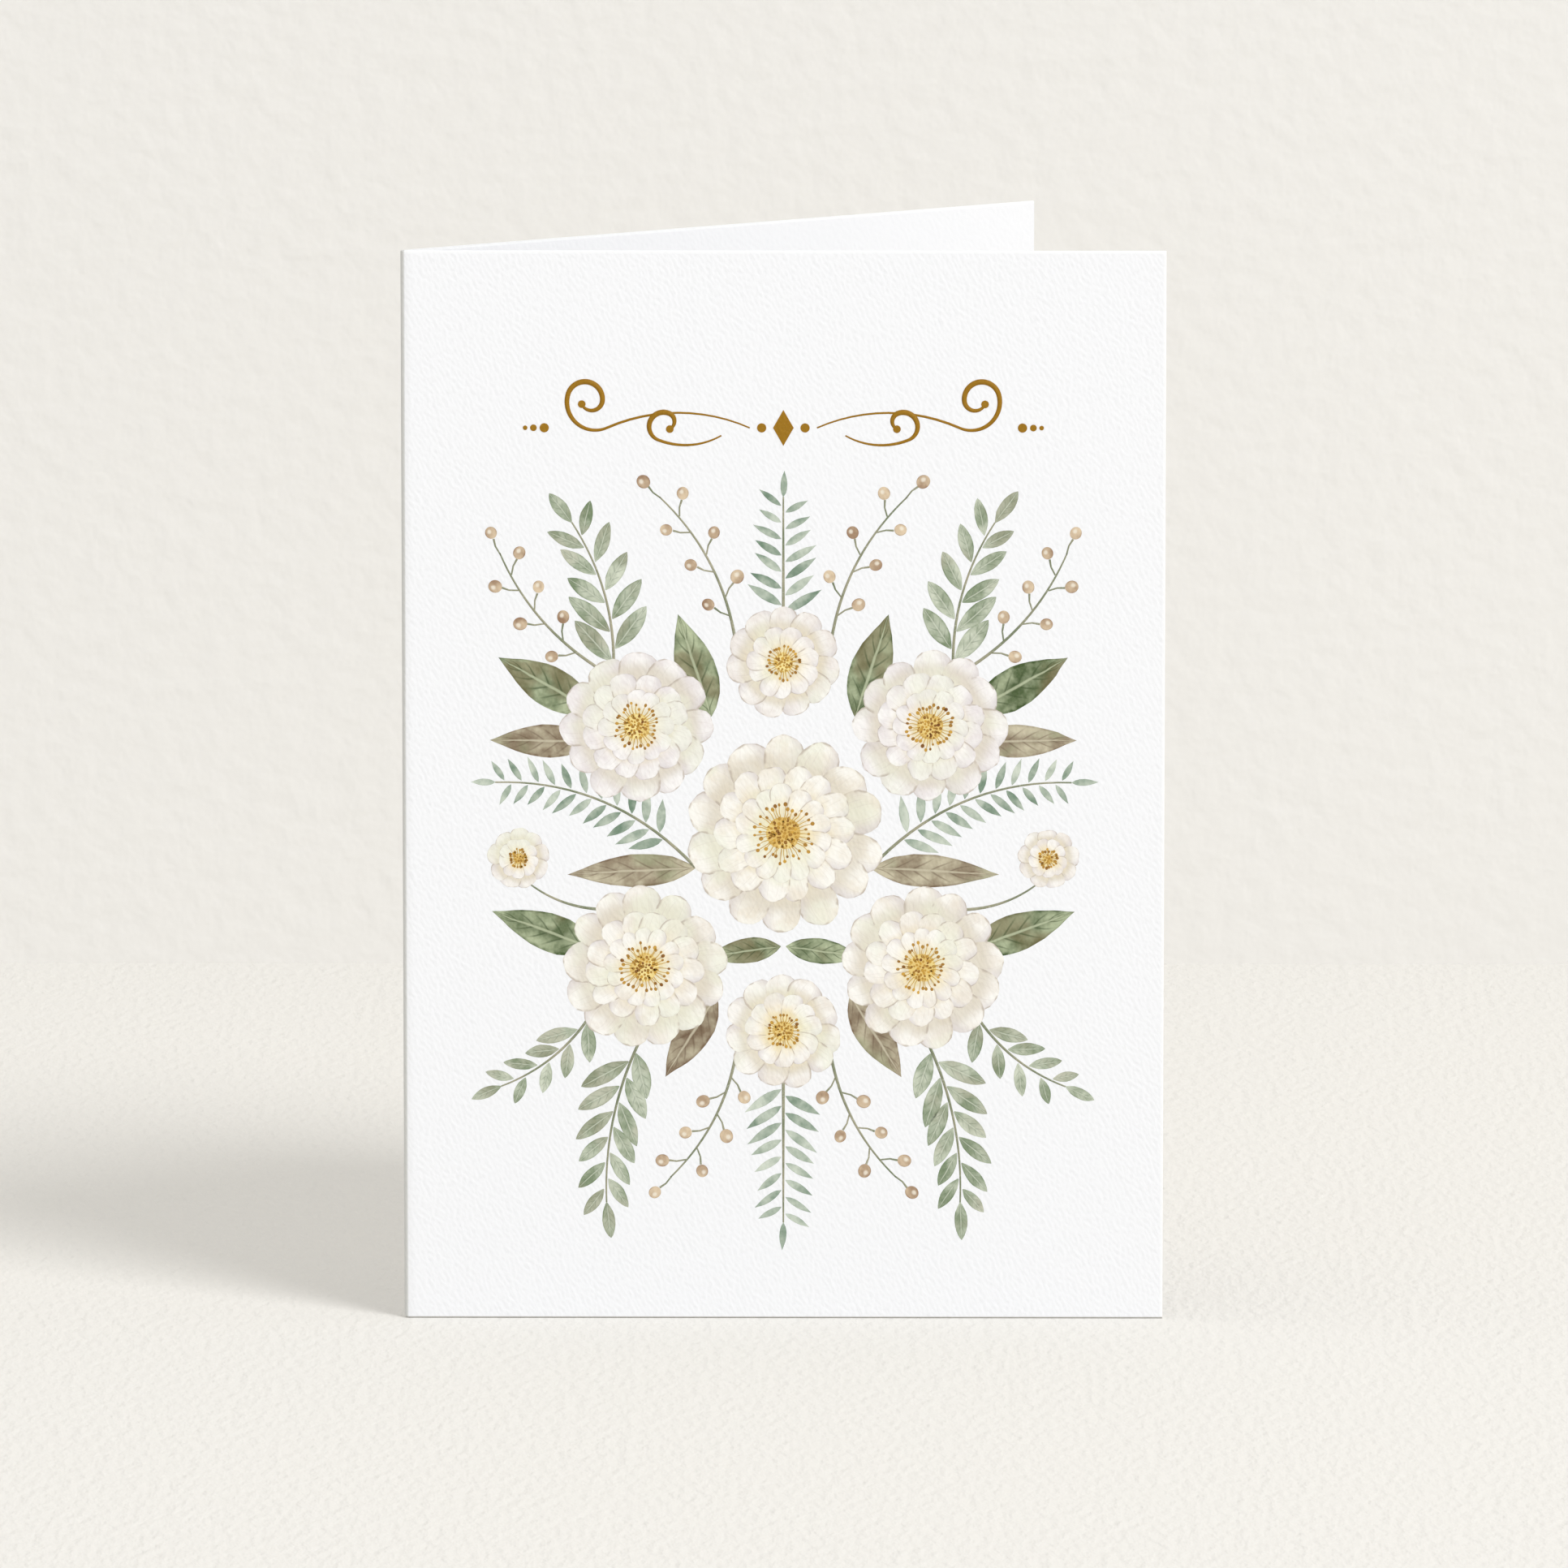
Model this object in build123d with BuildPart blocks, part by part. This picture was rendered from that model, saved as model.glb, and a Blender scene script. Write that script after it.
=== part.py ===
import math
import os

from build123d import *

os.makedirs("parts", exist_ok=True)

# The sheet: textured board, cut to size, scored across its middle and folded once.
sheet_width = 296.0
sheet_height = 210.0
sheet_thickness = 0.5
fold_inside_radius = 0.3
opening_angle = 33.5

# The cutting blade crushes the outer rim of the sheet round and leaves the inner one
# crisp, and handling has rounded the foot of the fold.
rim_radius = 0.25
fold_foot_radius = 1.0

# The printing: films of ink on the cover, drawn thick enough to be solids. The bouquet
# fills the area inside these margins, and the gold ornament runs above it.
ink_thickness = 0.05
side_margin = 12.0
foot_margin = 14.0
head_margin = 28.0
ornament_gap = 3.0

# The bouquet and the ornament are drawn in millimetres, each from the middle of its foot,
# and then scaled to the printed area. Only the right half of each is listed, and the left
# half mirrors it. Flowers on the middle line and beside it: sideways, up, radius.
middle_flowers = [(0, 82, 19.5), (0, 43, 11.5), (0, 115.5, 11)]
side_flowers = [(28.5, 103, 15), (27, 55.5, 16), (51.5, 77, 6)]
fewest_petals = 7
petals_per_mm = 0.36
disc_share = 0.27
shoulder_share = 0.86
petal_gap = 0.45
flower_halo = 0.3

# Sprigs and ferns: foot, tip, bow of the stem, length and width of a leaf.
leaf_sprigs = [
    ((33, 113), (41, 143), 2.5, 11.0, 3.6),
    ((37, 47), (55, 32), -2.0, 8.5, 2.8),
    ((28, 41), (34.5, 9), 2.0, 10.5, 3.4),
]
middle_ferns = [((0, 124), (0, 148), 0.0, 8.0, 1.9), ((0, 33), (0, 5), 0.0, 8.5, 2.0)]
side_ferns = [((22, 80), (56, 92), 3.5, 7.5, 1.9)]
berry_sprigs = [
    ((9.5, 121), (24, 148), 2.5),
    ((37.5, 115.5), (55, 137), -2.0),
    ((9.5, 37), (22, 14), -2.0),
]
flower_stalks = [((36, 67), (50, 72.5), -1.2)]

# Broad leaves half hidden by the flowers: foot, direction, length, width.
green_leaves = [
    ((14, 105), 72, 21, 8.0),
    ((37, 106), 30, 21, 8.0),
    ((36, 59), 20, 22, 7.5),
    ((0.5, 59.7), -8, 15, 5.0),
]
brown_leaves = [((37, 100), 1, 20, 6.5), ((17, 75.2), -3, 25, 6.5), ((13, 50), -58, 19, 7.0)]

# Outlines of a leaf and a petal: shares of their length, each with a share of half width.
leaf_outline = [(0.0, 0.0), (0.28, 0.92), (0.66, 0.82), (1.0, 0.0)]
petal_tip_share = 0.5
berry_sides = 6
disc_sides = 16

stem_width = 0.5
stalk_width = 0.35
tip_room = 6.0
leaf_gap = 0.15
leaf_pitch = 5.9
leaf_spread = 40.0
fern_pitch = 3.3
fern_spread = 58.0
fern_fullest = 0.4
tip_taper = 0.4
tip_leaf = 0.7
berry_radius = 1.3
berry_reach = 3.0
berry_pitch = 9.4
berry_spread = 48.0

# The ornament: a lozenge, beads and two scrolls, each a start, a heading and its turns.
ornament_height = 11.0
lozenge_width = 4.0
lozenge_height = 7.0
scroll_width = 0.8
bead_sides = 8
scrolls = [
    ((6.5, 4.5), 24, [(34, -48), (5.5, 130), (3.4, 170), (2.1, 150)]),
    ((12, 3.0), -30, [(14, 52), (2.8, 180), (1.7, 130)]),
]
beads = [(4.2, 4.5, 0.9), (46.3, 4.5, 0.9), (48.4, 4.5, 0.65), (50.0, 4.5, 0.45)]

# Section of the folded sheet, seen from above, about the axis of its bend.
opening = math.radians(opening_angle)
fold_middle_radius = fold_inside_radius + sheet_thickness / 2
fold_outside_radius = fold_inside_radius + sheet_thickness
bend_length = fold_middle_radius * (math.pi - opening)
panel_length = (sheet_width - bend_length) / 2
card_width = panel_length + fold_outside_radius
card_depth = (
    ink_thickness
    + fold_outside_radius * (1 + math.cos(opening))
    + panel_length * math.sin(opening)
)
bend_axis = Vector(
    fold_outside_radius - card_width / 2,
    fold_outside_radius + ink_thickness - card_depth / 2,
)
back_along = Vector(math.cos(opening), math.sin(opening))
back_outward = Vector(-math.sin(opening), math.cos(opening))
cover_y = bend_axis.Y - fold_outside_radius

# The printed area, the drawings' scale on it, and the bouquet's foot, which leaves what
# height the drawings don't need half below them and half above.
printed_width = card_width - 2 * side_margin
printed_height = sheet_height - foot_margin - head_margin - ornament_gap
tips = [stem[1] for stem in leaf_sprigs + middle_ferns + side_ferns + berry_sprigs]
drawing_width = 2 * (max(sideways for sideways, up in tips) + tip_room)
drawing_height = max(up for sideways, up in tips) + tip_room
art_scale = min(
    printed_width / drawing_width, printed_height / (drawing_height + ornament_height)
)
spare_height = printed_height - (drawing_height + ornament_height) * art_scale
bouquet_foot = foot_margin + spare_height / 2


def cover_at(height):
    """Plane of the cover, its origin on the middle line at a height over the foot."""
    return Plane(origin=(0, cover_y, height), x_dir=(1, 0, 0), z_dir=(0, -1, 0))


def sheet_surface(radius):
    """One surface of the sheet in section, at a radius from the bend's axis."""
    front_end = bend_axis + Vector(panel_length, -radius)
    back_start = bend_axis + back_outward * radius
    back_end = back_start + back_along * panel_length
    Line(front_end, bend_axis + Vector(0, -radius))
    CenterArc(bend_axis, radius, -90, opening_angle - 180)
    Line(back_start, back_end)
    return front_end, back_end


def from_bend(edge):
    """An edge's middle, seen from above and measured from the bend's axis."""
    middle = edge.position_at(0.5)
    return Vector(middle.X, middle.Y) - bend_axis


def is_outside(edge):
    """True for an edge on the outer surface of the sheet."""
    away = from_bend(edge)
    if away.X < 0 and away.dot(back_along) < 0:
        return away.length > fold_middle_radius
    return max(-away.Y, away.dot(back_outward)) > fold_middle_radius


def is_cut(edge):
    """True for an edge that cutting the sheet made, not one where its bend begins."""
    return abs(edge.tangent_at(0.5).Z) < 0.5 or from_bend(edge).length > panel_length / 2


with BuildPart() as folded_card:
    with BuildSketch():
        with BuildLine():
            outer_ends = sheet_surface(fold_outside_radius)
            inner_ends = sheet_surface(fold_inside_radius)
            Line(outer_ends[0], inner_ends[0])
            Line(outer_ends[1], inner_ends[1])
        make_face()
    extrude(amount=sheet_height)
    outer_rim = folded_card.edges().filter_by(is_cut).filter_by(is_outside)
    fillet(outer_rim, min(rim_radius, 0.8 * sheet_thickness))
    with BuildSketch(cover_at(0)):
        with BuildLine():
            corner = Vector(-card_width / 2, 0)
            along, up = Vector(fold_foot_radius, 0), Vector(0, fold_foot_radius)
            RadiusArc(corner + up, corner + along, -fold_foot_radius)
            Polyline(
                corner + along,
                corner + along - up,
                corner - along - up,
                corner - along + up,
                corner + up,
            )
        make_face()
    extrude(amount=-card_depth, mode=Mode.SUBTRACT)
folded_card.part.label = "folded_card"
export_step(folded_card.part, "parts/folded_card.step")


def on_cover(sideways, up):
    """A point of the bouquet's drawing, as a point of the cover."""
    return Vector(sideways * art_scale, bouquet_foot + up * art_scale)


def mirrored(items):
    """Each item twice, for the right hand and for the left."""
    return [(hand, item) for item in items for hand in (1, -1)]


def heading_of(direction):
    """Angle of a direction from +X, in degrees."""
    return math.degrees(math.atan2(direction.Y, direction.X))


def stem_line(hand, foot, tip, bow):
    """A stem's middle line on the cover: straight, or one shallow arc."""
    start = on_cover(hand * foot[0], foot[1])
    end = on_cover(hand * tip[0], tip[1])
    if bow == 0:
        return Edge.make_line(start, end)
    across = (end - start).normalized().rotate(Axis.Z, 90)
    middle = (start + end) / 2 + across * (hand * bow * art_scale)
    return Edge.make_three_point_arc(start, middle, end)


def leaf_places(hand, stem, pitch, spread):
    """Place and share of full length of each leaf, alternating, with one at the tip."""
    pairs = max(1, round(stem.length / (pitch * art_scale)))
    clear = (stem_width / 2 + leaf_gap) / math.sin(math.radians(spread))
    places = []
    for number in range(pairs):
        for side in (1, -1):
            share = (number + 0.6 + 0.2 * side * hand) / (pairs + 0.4)
            heading = heading_of(stem % share) + side * spread
            root = stem @ share + Vector(clear, 0).rotate(Axis.Z, heading)
            places.append((Location(root, (0, 0, heading)), 1 - tip_taper * share))
    heading = heading_of(stem % 1)
    root = stem @ 1 + Vector(leaf_gap, 0).rotate(Axis.Z, heading)
    places.append((Location(root, (0, 0, heading)), tip_leaf))
    return places


def draw_leaf(length, width):
    """A pointed leaf that grows along +X."""
    upper = [(length * along, width / 2 * across) for along, across in leaf_outline]
    lower = [(along, -across) for along, across in upper[1:-1]]
    Polygon(*upper, *reversed(lower), align=None)


def draw_petal(radius, petals):
    """One petal along +X, of a flower of this radius about the origin."""
    half_share = math.sin(math.pi / petals)
    root, shoulder = radius * disc_share + petal_gap, radius * shoulder_share
    half_root = root * half_share - petal_gap / 2
    half_shoulder = shoulder * half_share - petal_gap / 2
    half_tip = half_shoulder * petal_tip_share
    upper = [(root, half_root), (shoulder, half_shoulder), (radius, half_tip)]
    lower = [(along, -across) for along, across in upper]
    Polygon(*upper, *reversed(lower), align=None)


def clear_of_flowers():
    """Takes the flowers out of a sketch, because they are printed over it."""
    for place, radius, petals in flowers:
        with Locations(place):
            Circle(radius + flower_halo, mode=Mode.SUBTRACT)


flowers = [
    (
        on_cover(hand * sideways, up),
        radius * art_scale,
        round(fewest_petals + petals_per_mm * radius),
    )
    for hand, (sideways, up, radius) in (
        [(1, flower) for flower in middle_flowers] + mirrored(side_flowers)
    )
]

with BuildPart() as print_petals:
    with BuildSketch(cover_at(0)):
        for place, radius, petals in flowers:
            with Locations(place):
                with PolarLocations(0, petals, start_angle=90):
                    draw_petal(radius, petals)
    extrude(amount=ink_thickness)
print_petals.part.label = "print_petals"
export_step(print_petals.part, "parts/print_petals.step")

with BuildPart() as print_discs:
    with BuildSketch(cover_at(0)):
        for place, radius, petals in flowers:
            with Locations(place):
                RegularPolygon(radius * disc_share, disc_sides)
    extrude(amount=ink_thickness)
print_discs.part.label = "print_discs"
export_step(print_discs.part, "parts/print_discs.step")

for name, leaves in (("print_green_leaves", green_leaves), ("print_brown_leaves", brown_leaves)):
    with BuildPart() as broad_leaves:
        with BuildSketch(cover_at(0)):
            for hand, (foot, direction, length, width) in mirrored(leaves):
                heading = direction if hand > 0 else 180 - direction
                with Locations(Location(on_cover(hand * foot[0], foot[1]), (0, 0, heading))):
                    draw_leaf(length * art_scale, width * art_scale)
            clear_of_flowers()
        extrude(amount=ink_thickness)
    broad_leaves.part.label = name
    export_step(broad_leaves.part, f"parts/{name}.step")

with BuildPart() as print_sprig_leaves:
    with BuildSketch(cover_at(0)):
        for hand, (foot, tip, bow, length, width) in mirrored(leaf_sprigs):
            stem = stem_line(hand, foot, tip, bow)
            for place, share in leaf_places(hand, stem, leaf_pitch, leaf_spread):
                with Locations(place):
                    draw_leaf(length * share * art_scale, width * share * art_scale)
        clear_of_flowers()
    extrude(amount=ink_thickness)
print_sprig_leaves.part.label = "print_sprig_leaves"
export_step(print_sprig_leaves.part, "parts/print_sprig_leaves.step")

ferns = [(1, fern) for fern in middle_ferns] + mirrored(side_ferns)
with BuildPart() as print_ferns:
    with BuildSketch(cover_at(0)):
        for hand, (foot, tip, bow, length, width) in ferns:
            stem = stem_line(hand, foot, tip, bow)
            for place, share in leaf_places(hand, stem, fern_pitch, fern_spread):
                tip_x, half = length * share * art_scale, width * art_scale / 2
                broadest = tip_x * fern_fullest
                with Locations(place):
                    Polygon((0, 0), (broadest, -half), (tip_x, 0), (broadest, half), align=None)
        clear_of_flowers()
    extrude(amount=ink_thickness)
print_ferns.part.label = "print_ferns"
export_step(print_ferns.part, "parts/print_ferns.step")

# Each berry hangs on a stalk at the side of its stem, and one at the stem's end.
stalks, berries = [], []
for hand, (foot, tip, bow) in mirrored(berry_sprigs):
    stem = stem_line(hand, foot, tip, bow)
    for place, share in leaf_places(hand, stem, berry_pitch, berry_spread):
        root = place.position
        along = Vector(1, 0).rotate(Axis.Z, place.orientation.Z)
        stalks.append(Edge.make_line(root, root + along * berry_reach * art_scale))
        berries.append(root + along * (berry_reach + berry_radius) * art_scale)

with BuildPart() as print_berries:
    with BuildSketch(cover_at(0)):
        with Locations(berries):
            RegularPolygon(berry_radius * art_scale, berry_sides)
        clear_of_flowers()
    extrude(amount=ink_thickness)
print_berries.part.label = "print_berries"
export_step(print_berries.part, "parts/print_berries.step")

with BuildPart() as print_stems:
    with BuildSketch(cover_at(0)):
        for hand, stem in ferns + mirrored(leaf_sprigs + berry_sprigs + flower_stalks):
            trace(stem_line(hand, *stem[:3]), stem_width)
        for stalk in stalks:
            trace(stalk, stalk_width)
        clear_of_flowers()
    extrude(amount=ink_thickness)
print_stems.part.label = "print_stems"
export_step(print_stems.part, "parts/print_stems.step")

# Each arc of a scroll runs on from the one before it.
scroll_arcs, scroll_ends = [], []
for start, heading, turns in scrolls:
    at = Vector(*start) * art_scale
    towards = Vector(1, 0).rotate(Axis.Z, heading)
    for radius, turn in turns:
        arc = JernArc(at, towards, radius * art_scale, turn)
        scroll_arcs.append(arc.edge())
        at, towards = arc @ 1, arc % 1
    scroll_ends.append(at)

ornament_foot = bouquet_foot + drawing_height * art_scale + ornament_gap
with BuildPart() as print_gold_ornament:
    with BuildSketch(cover_at(ornament_foot)):
        for arc in scroll_arcs:
            trace(arc, scroll_width * art_scale)
        with Locations(scroll_ends):
            RegularPolygon(scroll_width * art_scale, bead_sides)
        for sideways, up, radius in beads:
            with Locations(Vector(sideways, up) * art_scale):
                RegularPolygon(radius * art_scale, bead_sides)
        mirror(about=Plane.YZ)
        half_width, half_height = lozenge_width * art_scale / 2, lozenge_height * art_scale / 2
        with Locations((0, beads[0][1] * art_scale)):
            Polygon((-half_width, 0), (0, -half_height), (half_width, 0), (0, half_height))
    extrude(amount=ink_thickness)
print_gold_ornament.part.label = "print_gold_ornament"
export_step(print_gold_ornament.part, "parts/print_gold_ornament.step")
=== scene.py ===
# %% [markdown]
# # A greeting card that stands open, printed in watercolour
#
# The real object is one sheet of white felt-marked board, scored and folded once. It
# stands on the lower edges of its two panels. Its cover is printed with a bouquet in pale
# watercolour and, above it, an ornament in flat gold ink.
#
# The sheet keeps the shape that the CAD gives it and gets its paper here. The print's
# plain fields of colour are replaced by drawn petals, leaves, ferns, berries and stems,
# and by gold pen strokes, each a very thin closed film on the cover. A print could also be
# an image on the cover, but films stay sharp at any distance and need no picture file.

# %% Load the frame
import math
import random

import bpy
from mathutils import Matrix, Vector


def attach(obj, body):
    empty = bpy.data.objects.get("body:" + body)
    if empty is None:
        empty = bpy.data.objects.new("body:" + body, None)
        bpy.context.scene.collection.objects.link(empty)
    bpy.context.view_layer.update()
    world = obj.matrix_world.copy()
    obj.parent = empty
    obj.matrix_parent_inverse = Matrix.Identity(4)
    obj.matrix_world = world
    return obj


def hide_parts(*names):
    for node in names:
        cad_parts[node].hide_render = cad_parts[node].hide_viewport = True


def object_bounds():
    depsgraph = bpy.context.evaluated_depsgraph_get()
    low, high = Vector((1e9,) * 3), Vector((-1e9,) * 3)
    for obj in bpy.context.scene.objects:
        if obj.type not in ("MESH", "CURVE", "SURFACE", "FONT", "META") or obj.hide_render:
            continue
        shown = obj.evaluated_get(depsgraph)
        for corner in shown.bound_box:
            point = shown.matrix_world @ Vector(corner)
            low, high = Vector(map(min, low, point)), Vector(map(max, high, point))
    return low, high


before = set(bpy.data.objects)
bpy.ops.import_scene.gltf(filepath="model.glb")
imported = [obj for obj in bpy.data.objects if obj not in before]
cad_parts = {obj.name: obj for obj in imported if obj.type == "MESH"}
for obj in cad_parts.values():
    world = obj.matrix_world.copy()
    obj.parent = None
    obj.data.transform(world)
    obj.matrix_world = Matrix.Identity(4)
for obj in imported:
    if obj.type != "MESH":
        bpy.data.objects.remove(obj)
cad_low, cad_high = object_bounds()
print("The CAD parts are", ", ".join(sorted(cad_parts)))
print("Their box in metres runs from", tuple(cad_low), "to", tuple(cad_high))

# %% [markdown]
# ## The camera
#
# The photograph was taken with a very long lens from about three metres, so the card's
# edges hardly converge. A camera could be placed by eye, but a few pixels of error show
# along straight edges, so its place, tilt and lens come from fitting a camera to the
# card's corners. Its turn about Z is small, because it faces the cover almost squarely.

# %% Camera
def new_object(name, data):
    """An object in the scene that shows this data."""
    made = bpy.data.objects.new(name, data)
    bpy.context.scene.collection.objects.link(made)
    return made


camera_data = bpy.data.cameras.new("camera")
camera_data.sensor_width = 36.0
camera_data.lens = 344.24
camera = new_object("camera", camera_data)
camera.location = (0.01449, -2.91912, 0.56247)
camera.rotation_euler = (math.radians(90 - 9.019), 0, math.radians(0.286))
bpy.context.scene.camera = camera
print("The camera stands", round(camera.location.length, 2), "m away")

# %% [markdown]
# ## Three small helpers for node trees
#
# Every material and every Geometry Nodes tree below is a handful of nodes joined up.
# Nodes could be added and linked one line at a time, but the wiring would bury what a
# material says. So one helper adds a node and fills its sockets with numbers or links, one
# makes a node group with named sockets, and one turns a colour as a screen shows it into
# the linear numbers that a shader needs.

# %% Node helpers
def add(tree, kind, inputs=None, **settings):
    """Adds a node, sets its settings, and fills its inputs with values or links."""
    made = tree.nodes.new(kind)
    for name, value in settings.items():
        setattr(made, name, value)
    for name, value in (inputs or {}).items():
        if isinstance(value, bpy.types.NodeSocket):
            tree.links.new(value, made.inputs[name])
        else:
            made.inputs[name].default_value = value
    return made


def new_group(kind, name, takes, gives):
    """A node group with its input and output nodes. It takes (name, type, value) sockets."""
    group = bpy.data.node_groups.new(name, kind)
    sockets = group.interface
    for socket_name, socket_type, value in takes:
        kept_as = "NodeSocket" + socket_type
        socket = sockets.new_socket(socket_name, in_out="INPUT", socket_type=kept_as)
        if value is not None:
            socket.default_value = value
    for socket_name, socket_type in gives:
        kept_as = "NodeSocket" + socket_type
        sockets.new_socket(socket_name, in_out="OUTPUT", socket_type=kept_as)
    return group, group.nodes.new("NodeGroupInput"), group.nodes.new("NodeGroupOutput")


def seen(red, green, blue):
    """The linear colour of a shade that a screen shows with these three numbers."""
    shares = [part / 255 for part in (red, green, blue)]
    linear = [s / 12.92 if s <= 0.04045 else ((s + 0.055) / 1.055) ** 2.4 for s in shares]
    return (*linear, 1.0)


# %% [markdown]
# ## Words for the sums that shaders do
#
# These read like a sentence where a material is built: where a point is, a value that the
# mesh keeps, a sum, a soft step from 0 to 1, a blend of two colours, a colour under
# several layers, and cloudy noise of a chosen size.

# %% Shader words
def here(tree):
    """Where a point is, in the piece's own metres."""
    return add(tree, "ShaderNodeTexCoord").outputs["Object"]


def kept(tree, name):
    """The value that the mesh keeps under a name."""
    return add(tree, "ShaderNodeAttribute", attribute_name=name).outputs["Fac"]


def on_film(tree):
    """How far along and across its film a point is, from 0 to 1."""
    return add(tree, "ShaderNodeUVMap", uv_map="UVMap").outputs[0]


def sum_of(tree, operation, *values):
    """What one Math node makes of these values."""
    return add(tree, "ShaderNodeMath", dict(enumerate(values)), operation=operation).outputs[0]


def soft_step(tree, value, start, end, low=0.0, high=1.0):
    """Goes smoothly from low at start to high at end, and stays there beyond."""
    step = add(
        tree,
        "ShaderNodeMapRange",
        {"Value": value, "From Min": start, "From Max": end, "To Min": low, "To Max": high},
        interpolation_type="SMOOTHSTEP",
    )
    return step.outputs["Result"]


def blend(tree, share, first, second):
    """The first colour where share is 0 and the second where it is 1."""
    mixed = add(tree, "ShaderNodeMix", {0: share, 6: first, 7: second}, data_type="RGBA")
    return mixed.outputs[2]


def layered(tree, colour, layers):
    """A colour under a list of (share, shade), each covering what is below by its share."""
    for share, shade in layers:
        colour = blend(tree, share, colour, seen(*shade))
    return colour


def clouds(tree, place, size, detail=2.0, roughness=0.5, turn=(0, 0, 0)):
    """Noise with features of this size in metres, or of (x, y, z) sizes on turned axes."""
    sizes = size if isinstance(size, tuple) else (size, size, size)
    laid = add(
        tree,
        "ShaderNodeMapping",
        {"Vector": place, "Rotation": turn, "Scale": sizes},
        vector_type="TEXTURE",
    )
    noise = add(
        tree,
        "ShaderNodeTexNoise",
        {"Vector": laid.outputs[0], "Scale": 1.0, "Detail": detail, "Roughness": roughness},
    )
    return noise.outputs["Fac"]


# %% [markdown]
# ## The board's felt marks
#
# Felt-marked board is pressed between woollen felts while wet. That leaves short shallow
# strokes one to two millimetres apart, which here run steeply from upper left to lower
# right. Displacing a dense mesh could make them, but they are only a few hundredths of a
# millimetre deep, so relief in the shading is enough. Print lies in the same surface, so
# paper and paint share one group for it. It works in Object coordinates, and all pieces
# sit at the origin, so the marks run on from the bare paper through every printed shape.

# %% Felt marks, as a group
felt, felt_in, felt_out = new_group(
    "ShaderNodeTree",
    "felt marks",
    [("Depth", "Float", 1.0)],
    [("Height", "Float"), ("Fibre", "Float")],
)
felt_place = here(felt)
streak_turn = (0, math.radians(64), 0)  # steep, as seen on the cover
streaks = clouds(felt, felt_place, (0.00112, 0.00112, 0.0007), 0.0, 0.5, streak_turn)
pits = clouds(felt, felt_place, (0.00065, 0.0006, 0.0004), 1.0, 0.5, streak_turn)
fibres = clouds(felt, felt_place, 0.00025, 2.0, 0.6)
relief = sum_of(felt, "MULTIPLY_ADD", streaks, 0.85, sum_of(felt, "MULTIPLY", pits, 0.26))
relief = sum_of(felt, "MULTIPLY_ADD", fibres, 0.02, relief)
relief = sum_of(felt, "MULTIPLY", relief, felt_in.outputs["Depth"])
felt.links.new(relief, felt_out.inputs["Height"])
felt.links.new(fibres, felt_out.inputs["Fibre"])
print("The felt group has", len(felt.nodes), "nodes")

# %% [markdown]
# ## One finish for paper and print
#
# Bare board and printed ink differ in colour and in sheen, but their surface is the same.
# So one helper makes a material with the felt relief and a low sheen, and each paint only
# adds its colour.

# %% Paper finish
felt_depth = 0.000123
paper_white = seen(245.4, 246.6, 249.4)


def new_finish(name, roughness):
    """A material with felt relief on a Principled shader, ready for its colour."""
    material = bpy.data.materials.new(name)
    material.use_nodes = True
    tree = material.node_tree
    shader = tree.nodes["Principled BSDF"]
    shader.inputs["Roughness"].default_value = roughness
    shader.inputs["Specular IOR Level"].default_value = 0.25
    marks = add(tree, "ShaderNodeGroup", node_tree=felt)
    bump = add(
        tree, "ShaderNodeBump", {"Height": marks.outputs["Height"], "Distance": felt_depth}
    )
    tree.links.new(bump.outputs["Normal"], shader.inputs["Normal"])
    return material, tree, shader, marks, bump


# %% [markdown]
# ## The board
#
# The sheet keeps its CAD shape. Its outer side carries the full felt marks, and the inner
# side, which is smoother for writing and a shade less bright, carries half of them. Two
# materials could do that, but which side a point is on can be read from its normal: the
# cover faces -Y, and the outside of the back panel and the fold face -X. The hollows of
# the felt marks get a painted shade, faint on the cover and stronger on the back panel,
# which would look smooth without it, because no lamp rakes over it there.

# %% Board material
board, tree, shader, marks, bump = new_finish("felt_board", 0.85)
surface = add(tree, "ShaderNodeNewGeometry")
facing = add(tree, "ShaderNodeSeparateXYZ", {0: surface.outputs["True Normal"]})
is_cover = sum_of(tree, "LESS_THAN", facing.outputs["Y"], -0.95)
is_back = sum_of(tree, "LESS_THAN", facing.outputs["X"], -0.3)
is_outside = sum_of(tree, "MAXIMUM", is_cover, is_back)
depth = add(tree, "ShaderNodeMapRange", {"Value": is_outside, "To Min": 0.5, "To Max": 1.0})
tree.links.new(depth.outputs["Result"], marks.inputs["Depth"])
board_colour = blend(tree, is_outside, seen(242, 242.8, 245), paper_white)
# Painted shade: the hollows of the felt marks are darkened a little on the cover and more on the
# back panel.
cover_hollow_shade = soft_step(tree, marks.outputs["Height"], 0.52, 0.3, 0.0, 0.13)
cover_hollow_shade = sum_of(tree, "MULTIPLY", cover_hollow_shade, is_cover)
back_hollow_shade = soft_step(tree, marks.outputs["Height"], 0.7, 0.38, 0.0, 0.24)
back_hollow_shade = sum_of(tree, "MULTIPLY", back_hollow_shade, is_back)
painted_hollow_shade = sum_of(tree, "MAXIMUM", cover_hollow_shade, back_hollow_shade)
board_colour = blend(tree, painted_hollow_shade, board_colour, seen(226, 227, 230))
print("The board tells its sides apart with", len(tree.nodes), "nodes")
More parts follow.
